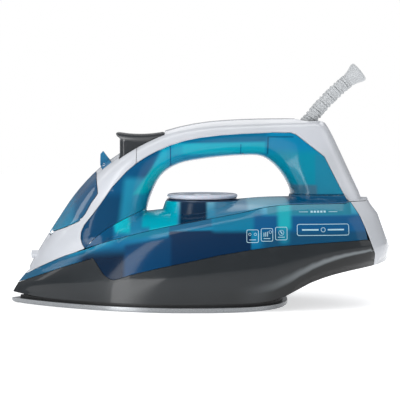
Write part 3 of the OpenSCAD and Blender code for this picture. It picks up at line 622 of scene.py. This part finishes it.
class IronSizes(bpy.types.PropertyGroup):
    """Sizes of the small details"""

    rib_pitch: bpy.props.FloatProperty(
        name="Rib pitch",
        description="Distance between the cord guard's ribs",
        default=3.7 * MM,
        unit="LENGTH",
        precision=4,
    )
    rib_depth: bpy.props.FloatProperty(
        name="Rib depth",
        description="Depth of the grooves between the cord guard's ribs",
        default=0.8 * MM,
        unit="LENGTH",
        precision=4,
    )
    edge: bpy.props.FloatProperty(
        name="Edge radius",
        description="Rounding of the steam selector's edges",
        default=0.42 * MM,
        unit="LENGTH",
        precision=4,
    )
    line: bpy.props.FloatProperty(
        name="Print line",
        description="Width of a printed line on the tank",
        default=0.38 * MM,
        unit="LENGTH",
        precision=4,
    )


# ---- pieces -----------------------------------------------------------------

# Outer shells, with their finish.
SHELLS = {
    "skirt": "skirt_pbt",
    "tank_lower": "tank_pp",
    "tank_upper": "tank_top_pp",
    "handle_lower": "handle_pp",
    "handle_cover": "white_abs",
    "rear_cover": "white_abs",
    "nose_cover": "white_abs",
    "filler_door": "door_pp",
}
SHELL_BODY = {"filler_door": "door"}
# Pieces that keep their CAD shape, with their finish.
INNER = {
    "heater_casting": "cast_metal",
    "heating_element": "sheath",
    "element_terminals": "inner_pbt",
    "chamber_cover": "steel",
    "gasket": "seal_silicone",
    "thermostat": "inner_pbt",
    "thermal_fuse": "hose_silicone",
    "valve_seat": "brass",
    "steam_valve_rod": "steel",
    "tank_floor": "navy_pp",
    "door_pin": "steel",
    "filler_seal": "seal_silicone",
    "filler_tray": "navy_pp",
    "selector_pin": "steel",
    "spray_piston": "inner_pbt",
    "burst_piston": "inner_pbt",
    "spray_pump": "inner_pbt",
    "burst_pump": "inner_pbt",
    "spray_spring": "steel",
    "burst_spring": "steel",
    "spray_hose": "hose_silicone",
    "burst_hose": "hose_silicone",
    "dial_shaft": "inner_pbt",
    # The dial's seat is navy so that the gap under the dial reads dark: painted shade.
    "dial_seat": "navy_pp",
    "swivel_ball": "guard_pvc",
    "swivel_socket": "inner_pbt",
    "terminal_block": "inner_pbt",
    "cord_clamp": "inner_pbt",
    "wiring": "wire_sleeve",
    "casting_screws": "steel",
    "spray_nozzle": "white_abs",
}


class IRON_OT_inner(bpy.types.Operator):
    """Give the pieces that keep their CAD shape their finishes"""

    bl_idname = "iron.inner"
    bl_label = "Finishes and inner pieces"

    def execute(self, context):
        make_materials(context.scene.iron_colours)
        for node, material in INNER.items():
            for slot in frame["nodes"][node].material_slots:
                slot.material = MATERIALS[material]
        return {"FINISHED"}


class IRON_OT_shells(bpy.types.Operator):
    """Make the outer shells"""

    bl_idname = "iron.shells"
    bl_label = "Outer shells"

    def execute(self, context):
        for node, material in SHELLS.items():
            body = SHELL_BODY.get(node, "iron")
            keep(node + "_shell", merged(node), material, body, [node], sharp=28)
        return {"FINISHED"}


# Rows of a button's skin from its foot to its top, in mm: drop below the crest (none for the foot),
# inset at the sides, set back at the front, radius of the outer front corner.
BUTTON_ROWS = (
    (None, 0.7, 2.6, 4.2),
    (6.6, 0.7, 2.6, 4.2),
    (5.2, 0.75, 2.6, 4.2),
    (4.5, 0.6, 2.2, 1.6),
    (3.9, 0.25, 1.1, 1.6),
    (3.2, 0.04, 0.45, 1.6),
    (2.2, 0.02, 0.06, 1.6),
    (1.3, 0.22, 0.2, 1.6),
    (0.65, 0.75, 0.7, 1.6),
    (0.2, 1.6, 1.5, 1.6),
    (0.02, 2.7, 2.7, 1.6),
)
BUTTON_SAG = 1.8  # how far the thumb hollow sinks, in mm
STEM_FOOT = 11.0  # length of a stem's level foot, in mm
STEM_RISE = 0.42  # slope of its underside behind the foot
TIGHT = 0.5  # radius of a button's rear corners, in mm
INNER_CORNER = 0.6  # radius of its front corner on the middle line, in mm


def button_skin(low, high):
    """A stem under a rolled lip, inside the box from low to high in mm."""
    middle = (low.x + high.x) / 2
    sag_r = (high.x - low.x) ** 2 / (8 * BUTTON_SAG)
    mesh = bmesh.new()
    rings = []
    for drop, inset, back, bend in BUTTON_ROWS:
        x = (low.x + back, high.x - inset * 0.5)
        y = (low.y + inset, high.y - inset)
        corners = (bend, TIGHT, TIGHT, INNER_CORNER)
        if low.y + high.y > 0:
            corners = corners[::-1]
        points = rounded_loop(x, y, corners)
        verts, edges = ring_of(mesh, Matrix(), MM, len(points))
        for vert, (px, py) in zip(verts, points):
            crest = high.z - BUTTON_SAG + (px - middle) ** 2 / (2 * sag_r)
            foot = low.z + max(px - low.x - STEM_FOOT, 0) * STEM_RISE
            vert.co = Vector((px, py, foot if drop is None else crest - drop)) * MM
        rings.append(edges)
    for below, above in zip(rings, rings[1:]):
        bmesh.ops.bridge_loops(mesh, edges=below + above)
    bmesh.ops.contextual_create(mesh, geom=rings[0])
    crown = bmesh.ops.contextual_create(mesh, geom=rings[-1])["faces"]
    bmesh.ops.triangulate(mesh, faces=crown)
    bmesh.ops.recalc_face_normals(mesh, faces=mesh.faces)
    return mesh


class IRON_OT_controls(bpy.types.Operator):
    """Make the buttons and the steam selector"""

    bl_idname = "iron.controls"
    bl_label = "Buttons and selector"

    def execute(self, context):
        for node, body in (("spray_button", "spray_key"), ("burst_button", "burst_key")):
            low, high = (Vector(corner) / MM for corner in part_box(node))
            keep(node + "_cap", button_skin(low, high), "button_abs", body, [node], sharp=60)
        mesh = merged("steam_selector")
        flatten(mesh)
        soften(mesh, context.scene.iron_sizes.edge / MM, angle=50)
        blade = BVHTree.FromBMesh(mesh)
        keep("selector_lever", mesh, "lever_pc", "selector", ["steam_selector"])
        # A round pale dot on each side of the lever: a painted highlight.
        dots = bmesh.new()
        for side in (-1, 1):
            spot = disc(dots, x=-34.2, z=105.8, radius=1.1, sides=16)
            onto(blade, spot, side, proud_mm=0.05)
        ink(dots)
        keep("selector_painted_highlight", dots, "dial_abs", "selector", weighted=False)
        return {"FINISHED"}


MOUND_CREST = 2.6  # height of the mound's crest over the foot of the dial's seat, in mm
TICKS = 36  # ticks round the dial's rim, every third one long
ARC_BARS = 30  # bars in the arc on the dial's top
SCALE_INSET = 3.6  # distance of the dots and bars from the dial's rim, in mm


class IRON_OT_dial(bpy.types.Operator):
    """Make the temperature dial, its ticks and its heat dots"""

    bl_idname = "iron.dial"
    bl_label = "Temperature dial"

    def execute(self, context):
        low, high = (Vector(corner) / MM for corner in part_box("dial"))
        centre = ((low.x + high.x) / 2 * MM, 0.0)
        rim, foot, top = (high.x - low.x) / 2, low.z, high.z
        mesh = bmesh.new()
        profile = [
            (0.0, foot + 2.0),
            (2.6, foot + 2.0),
            (2.6, foot),
            (rim - 2.0, foot),
            (rim - 1.1, foot + 0.25),
            (rim - 0.3, foot + 0.9),
            (rim, foot + 1.8),
            (rim - 0.15, top - 0.9),
            (rim - 0.7, top - 0.25),
            (rim - 1.7, top),
            (rim - 5.4, top),
            (rim - 6.1, top - 0.3),
            (rim - 6.6, top - 0.9),
            (7.6, top - 0.9),
            (7.0, top - 0.7),
            (6.2, top - 0.1),
            (5.2, top),
            (0.0, top),
        ]
        lathe(mesh, profile, centre)
        keep("dial_cap", mesh, "dial_abs", "dial_knob", ["dial"], sharp=50)
        # A smooth skin over the mound that carries the dial.
        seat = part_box("dial_seat")[0].z / MM + MOUND_CREST
        mesh = bmesh.new()
        skin = [
            (rim + 0.5, seat - 0.1),
            (rim + 0.9, seat + 0.02),
            (rim + 1.27, seat - 0.3),
            (rim + 1.7, seat - 1.3),
            (rim + 2.65, seat - 4.0),
            (rim + 5.6, seat - 13.0),
        ]
        lathe(mesh, skin, centre)
        keep("dial_mound", mesh, "tank_top_pp", "iron", sharp=60)
        # The ticks stand round the rim and climb over its shoulder.
        ticks = bmesh.new()
        for step in range(TICKS):
            turn = Matrix.Translation((*centre, 0)) @ Matrix.Rotation(math.tau * step / TICKS, 4, "Z")
            for radius, height, tilt, length in (
                (rim - 0.02, foot + 2.1, 90, 1.1),
                (rim - 0.42, top - 0.55, 45, 0.7),
            ):
                if step % 3:
                    length *= 0.6
                flat = (
                    turn
                    @ Matrix.Translation((radius * MM, 0, height * MM))
                    @ Matrix.Rotation(math.radians(tilt), 4, "Y")
                )
                bmesh.ops.create_grid(
                    ticks,
                    x_segments=1,
                    y_segments=1,
                    size=0.5 * MM,
                    matrix=flat @ Matrix.Diagonal((length, 0.5, 1, 1)),
                )
        bmesh.ops.solidify(ticks, geom=ticks.faces, thickness=INK * MM)
        keep("dial_ticks", ticks, "print_white", "dial_knob", weighted=False)
        # One, two and three dots mark the heat settings; an arc of growing bars fills the rest.
        dots = bmesh.new()
        track, level = (rim - SCALE_INSET) * MM, (top + 0.01) * MM
        for angle, count in ((-70, 1), (-25, 2), (25, 3)):
            for k in range(count):
                turn = math.radians(angle - 90 + (k - (count - 1) / 2) * 5)
                spot = (centre[0] + track * math.cos(turn), centre[1] + track * math.sin(turn), level)
                place = Matrix.Translation(spot)
                bmesh.ops.create_circle(dots, cap_ends=True, segments=16, radius=0.75 * MM, matrix=place)
        for step in range(ARC_BARS):
            share = step / (ARC_BARS - 1)
            turn = Matrix.Rotation(math.radians(200 * share - 10), 4, "Z")
            place = Matrix.Translation((*centre, level)) @ turn @ Matrix.Translation((track, 0, 0))
            size = Matrix.Diagonal((1.0 + 1.4 * share, 0.4, 1, 1))
            bmesh.ops.create_grid(dots, x_segments=1, y_segments=1, size=0.5 * MM, matrix=place @ size)
        ink(dots)
        keep("dial_marks", dots, "print_grey", "dial_knob", weighted=False)
        return {"FINISHED"}


PRINT_STEP = 1.4  # longest edge of a print that has to follow the wall, in mm


class IRON_OT_prints(bpy.types.Operator):
    """Print the plain marks on both sides of the tank"""

    bl_idname = "iron.prints"
    bl_label = "Tank prints"

    def execute(self, context):
        line = context.scene.iron_sizes.line
        mesh = bmesh.new()
        # Three small frames climb gently to the rear, each round a plain sign.
        for k in range(3):
            x, z = 72.6 + 10.4 * k, 50.4 + 0.9 * k
            frame_of(mesh, (x, x + 8.8), (z, z + 9.4), 1.2, line)
            bar(mesh, (x + 2.0, x + 6.8), (z + 1.9, z + 2.3))
        ring(mesh, 75.0, 56.4, 1.0, line * 0.7)
        ring(mesh, 79.0, 56.4, 1.0, line * 0.7)
        for k in range(3):
            bar(mesh, (85.0 + 1.3 * k, 85.5 + 1.3 * k), (54.8, 57.6 + 0.3 * k))
        ring(mesh, 89.8, 58.0, 1.1, line * 0.7)
        ring(mesh, 97.8, 57.4, 2.0, line * 0.7)
        bar(mesh, (97.5, 98.1), (56.4, 58.8), math.radians(35))
        # An empty plate with a dot between two bars.
        frame_of(mesh, (109.2, 147.6), (55.2, 63.6), 1.6, line * 1.2)
        for x in ((113.0, 125.0), (131.8, 143.8)):
            bar(mesh, x, (58.9, 59.9))
        ring(mesh, 128.4, 59.4, 1.7, line)
        # A pair of thin lines above it, either side of a row of short ones.
        for x in ((111.2, 117.6), (133.0, 139.4)):
            bar(mesh, x, (72.0, 72.35))
        for k in range(5):
            bar(mesh, (119.6 + 2.4 * k, 121.2 + 2.4 * k), (71.6, 72.9))
        for _ in range(5):
            long = [e for e in mesh.edges if e.calc_length() > PRINT_STEP * MM]
            bmesh.ops.subdivide_edges(mesh, edges=long, cuts=1, use_grid_fill=True)
        bmesh.ops.triangulate(mesh, faces=mesh.faces)
        first = list(mesh.verts)
        copied = bmesh.ops.duplicate(mesh, geom=mesh.verts[:] + mesh.edges[:] + mesh.faces[:])["geom"]
        second = [part for part in copied if isinstance(part, bmesh.types.BMVert)]
        tank = merged("tank_lower")
        wall = BVHTree.FromBMesh(tank)
        for verts, side in ((first, -1), (second, 1)):
            onto(wall, verts, side, proud_mm=0.07)
        tank.free()
        ink(mesh)
        keep("tank_prints", mesh, "print_white", "iron", weighted=False)
        return {"FINISHED"}


GUARD_FOOT = 11.5 * MM  # where the ribs start, past the ball's middle
GUARD_SPAN = 44.0 * MM  # length of the ribbed part, along its middle line
GUARD_BEND = math.radians(14)  # how far it droops over that length
RIB_RADIUS = 5.5 * MM
GUARD_BORE = 3.5 * MM
RIB_LEAN = math.radians(9)
WEB_STEP = math.radians(50)  # turn from one groove's web to the next one's
WEB_HALF = 0.34  # sine of half the angle that a web takes up
# The guard's flared end, in mm: distance past the ribs, radius.
FLARE = (
    (0, 4.9),
    (1.2, 5.4),
    (3, 5.75),
    (5, 6.3),
    (7, 7.15),
    (8.6, 7.8),
    (9.8, 8.0),
    (10.6, 7.9),
    (11, 7.5),
)


class IRON_OT_guard(bpy.types.Operator):
    """Make the ribbed cord guard"""

    bl_idname = "iron.guard"
    bl_label = "Cord guard"

    def execute(self, context):
        sizes = context.scene.iron_sizes
        swivel = next(j for j in frame["record"]["behaviour"]["joints"] if j["name"] == "guard_turn")
        ball, along = Vector(swivel["pos_m"]), Vector(swivel["axis"]).normalized()
        droop = Vector((along.z, 0, -along.x))
        foot, span, bend = GUARD_FOOT, GUARD_SPAN, GUARD_BEND
        arc_r = span / bend

        def at(distance, tip=0.0):
            """Frame of the guard's middle line, distance metres past the ball's middle."""
            turn = min(max((distance - foot) / arc_r, 0.0), bend)
            heading = along * math.cos(turn) + droop * math.sin(turn)
            point = ball + along * (foot + arc_r * math.sin(turn)) + droop * arc_r * (1 - math.cos(turn))
            point += heading * (distance - foot - arc_r * turn)
            out = droop * math.cos(turn) - along * math.sin(turn)
            frame_matrix = Matrix((out, heading.cross(out), heading)).transposed().to_4x4()
            frame_matrix.translation = point
            return frame_matrix @ Matrix.Rotation(tip, 4, "X")

        rib, chamfer = RIB_RADIUS, RIB_RADIUS - 0.25 * MM
        groove = rib - sizes.rib_depth
        count = round(span / sizes.rib_pitch)
        pitch = span / count
        outer, flats = [], []
        for k in range(count):
            start = foot + k * pitch
            # Neighbouring ribs lean opposite ways, so that they read as two crossed spirals.
            tip = RIB_LEAN if k % 2 else -RIB_LEAN
            for share, radius, lean in (
                (0.0, groove, 0.0),
                (0.22, groove, tip),
                (0.27, chamfer, tip),
                (0.36, rib, tip),
                (0.62, rib, tip),
                (0.71, chamfer, tip),
                (0.76, groove, tip),
            ):
                outer.append((at(start + share * pitch, lean), radius))
                flats.append(k if radius == groove else None)
        outer.append((at(foot + span), groove))
        flats.append(None)
        mesh = bmesh.new()
        inner = [(at(foot + span * k / 12), GUARD_BORE) for k in range(13)]
        rings = sleeve(mesh, outer, inner)
        # A web bridges each groove on two opposite sides.
        for verts, k in zip(rings, flats):
            if k is None:
                continue
            for vert in verts:
                place = max((vert.co - ball).dot(along), foot)
                centre = at(place).inverted() @ vert.co
                turned = math.atan2(centre.y, centre.x) - k * WEB_STEP
                if abs(math.sin(turned)) < WEB_HALF:
                    spoke = Vector((centre.x, centre.y, 0)).normalized() * (rib - groove - 0.1 * MM)
                    vert.co += at(place).to_3x3() @ spoke
        keep("guard_ribs", mesh, "guard_pvc", "guard", ["cord_guard"], sharp=40)
        mesh = bmesh.new()
        tip = foot + span
        outer = [(at(tip + d * MM), r * MM) for d, r in FLARE]
        inner = [(at(tip), GUARD_BORE), (at(tip + 9.5 * MM), GUARD_BORE), (at(tip + 11 * MM), 4.4 * MM)]
        sleeve(mesh, outer, inner, 40)
        keep("guard_trumpet", mesh, "guard_pvc", "guard", ["guard_end"], sharp=50)
        keep("guard_foot_skin", merged("guard_foot"), "guard_pvc", "guard", ["guard_foot"], sharp=40)
        return {"FINISHED"}


class IRON_OT_soleplate(bpy.types.Operator):
    """Make the soleplate"""

    bl_idname = "iron.soleplate"
    bl_label = "Soleplate"

    def execute(self, context):
        mesh = merged("soleplate")
        flatten(mesh, 0.5)
        keep("sole", mesh, "ceramic", "iron", ["soleplate"], sharp=35)
        return {"FINISHED"}


# The wedge is a painted pool of light: floor paper that glows brighter, so that the skirt mirrors it.
WEDGE_GLOW = 3.5  # how much brighter the wedge on the floor is than the paper round it
PAPER_GLOW = 0.55
LAMPS = (
    # name, place, target, width, height, power
    ("top_softbox", (0.05, -0.3, 0.9), (0.03, 0, 0.05), 1.1, 0.26, 2.6),
    ("left_strip", (-0.68, -0.87, 0.4), (-0.01, 0, 0.05), 0.22, 1.1, 2.9),
    ("nose_box", (-0.75, -0.02, 0.6), (-0.06, 0, 0.07), 0.14, 0.7, 0.7),
    ("back_light", (0.2, 0.9, 0.9), (0.05, 0, 0.08), 1.4, 0.5, 2.6),
    ("right_fill", (1.1, -0.5, 0.5), (0.1, 0, 0.08), 0.6, 0.8, 1.6),
)
CAMERA_PLACE = (0.039, -0.8, 0.1242)
CAMERA_TARGET = (0.039, 0, 0.0785)


def aimed(thing, place, target):
    """Stands a lamp or camera at a place, turned towards a target."""
    thing.location = place
    thing.rotation_euler = (Vector(target) - Vector(place)).to_track_quat("-Z", "Y").to_euler()
    bpy.context.collection.objects.link(thing)


def white_paper():
    """The floor's paper, with a painted pool of light: a brighter, glowing wedge in front of the nose that
    the skirt mirrors as a streak.
    """
    material, tree, place = blank("white_paper")
    cloud = add(tree, "ShaderNodeTexNoise", Vector=place, Scale=6.0)
    tone = shades(tree, cloud.outputs["Fac"], [(0.3, "#f4f4f5"), (0.7, "#f7f7f8")])
    parts = add(tree, "ShaderNodeSeparateXYZ", Vector=place)
    x, y = parts.outputs["X"], parts.outputs["Y"]
    # Distances in metres from the wedge's two edges: crisp on the left, soft on the right.
    left = calc(tree, "MULTIPLY_ADD", x, 0.755, calc(tree, "MULTIPLY_ADD", y, -0.656, -0.0074))
    right = calc(tree, "MULTIPLY_ADD", x, 0.974, calc(tree, "MULTIPLY_ADD", y, -0.225, -0.0141))
    past_left = ramp_between(tree, left, 0.0, 0.004)
    past_right = ramp_between(tree, right, 0.0, -0.035)
    inside = calc(tree, "MULTIPLY", past_left, past_right)
    wedge = calc(tree, "MULTIPLY", inside, ramp_between(tree, y, -0.05, -0.06))
    finish(
        tree,
        Base_Color=tone,
        Roughness=0.3,
        Specular_IOR_Level=0.35,
        Emission_Color=(1, 1, 1, 1),
        Emission_Strength=calc(tree, "MULTIPLY_ADD", wedge, WEDGE_GLOW, PAPER_GLOW),
    )
    return material


def lay_floor():
    """A sheet of paper just under the soleplate."""
    mesh = bmesh.new()
    bmesh.ops.create_grid(mesh, x_segments=1, y_segments=1, size=3.0)
    data = bpy.data.meshes.new("floor")
    mesh.to_mesh(data)
    mesh.free()
    floor = bpy.data.objects.new("floor", data)
    floor.location.z = -0.2 * MM
    bpy.context.collection.objects.link(floor)
    data.materials.append(white_paper())


def hang_sky(scene):
    """A room that is brighter overhead, and plain white where the camera looks past the iron."""
    world = bpy.data.worlds.new("studio")
    scene.world = world
    world.use_nodes = True
    sky = world.node_tree
    sky.nodes.clear()
    toward = add(sky, "ShaderNodeTexCoord").outputs["Generated"]
    height = add(sky, "ShaderNodeSeparateXYZ", Vector=toward).outputs["Z"]
    lift = add(sky, "ShaderNodeMapRange", _0=height, _1=-0.1, _2=0.9, _3=0.0, _4=1.0).outputs[0]
    tint = shades(sky, lift, [(0.0, "#8f9194"), (0.3, "#9fa1a5"), (0.6, "#d8d9dc"), (1.0, "#ffffff")])
    room = add(sky, "ShaderNodeBackground", Color=tint, Strength=0.8)
    paper = add(sky, "ShaderNodeBackground", Color=(1, 1, 1, 1), Strength=1.0)
    seen = add(sky, "ShaderNodeLightPath").outputs["Is Camera Ray"]
    both = add(sky, "ShaderNodeMixShader", _0=seen, _1=room.outputs[0], _2=paper.outputs[0])
    add(sky, "ShaderNodeOutputWorld", Surface=both.outputs[0])


class IRON_OT_stage(bpy.types.Operator):
    """Set the floor, the lights and the camera"""

    bl_idname = "iron.stage"
    bl_label = "Floor, lights and camera"

    def execute(self, context):
        scene = context.scene
        scene.view_settings.view_transform = "Standard"
        lay_floor()
        hang_sky(scene)
        for name, place, target, width, height, power in LAMPS:
            light = bpy.data.lights.new(name, "AREA")
            light.shape = "RECTANGLE"
            light.size = width
            light.size_y = height
            light.energy = power
            aimed(bpy.data.objects.new(name, light), place, target)
        lens = bpy.data.cameras.new("camera")
        lens.lens = 93.94
        lens.sensor_width = 36
        camera = bpy.data.objects.new("camera", lens)
        aimed(camera, CAMERA_PLACE, CAMERA_TARGET)
        scene.camera = camera
        return {"FINISHED"}


class IRON_PT_panel(bpy.types.Panel):
    """Steps that build the iron, and its settings"""

    bl_idname = "IRON_PT_panel"
    bl_label = "Steam iron"
    bl_space_type = "VIEW_3D"
    bl_region_type = "UI"
    bl_category = "Iron"

    def draw(self, context):
        for group in (context.scene.iron_colours, context.scene.iron_sizes):
            for name in group.__annotations__:
                self.layout.prop(group, name)
        for step in STEPS:
            self.layout.operator(step.bl_idname)


STEPS = (
    IRON_OT_inner,
    IRON_OT_shells,
    IRON_OT_controls,
    IRON_OT_dial,
    IRON_OT_prints,
    IRON_OT_guard,
    IRON_OT_soleplate,
    IRON_OT_stage,
)
CLASSES = (IronColours, IronSizes, *STEPS, IRON_PT_panel)


def register():
    for cls in CLASSES:
        bpy.utils.register_class(cls)
    bpy.types.Scene.iron_colours = bpy.props.PointerProperty(type=IronColours)
    bpy.types.Scene.iron_sizes = bpy.props.PointerProperty(type=IronSizes)


def unregister():
    del bpy.types.Scene.iron_sizes
    del bpy.types.Scene.iron_colours
    for cls in reversed(CLASSES):
        bpy.utils.unregister_class(cls)


def main():
    register()
    for step in STEPS:
        getattr(bpy.ops.iron, step.bl_idname.split(".")[1])()


if __name__ == "__main__":
    main()
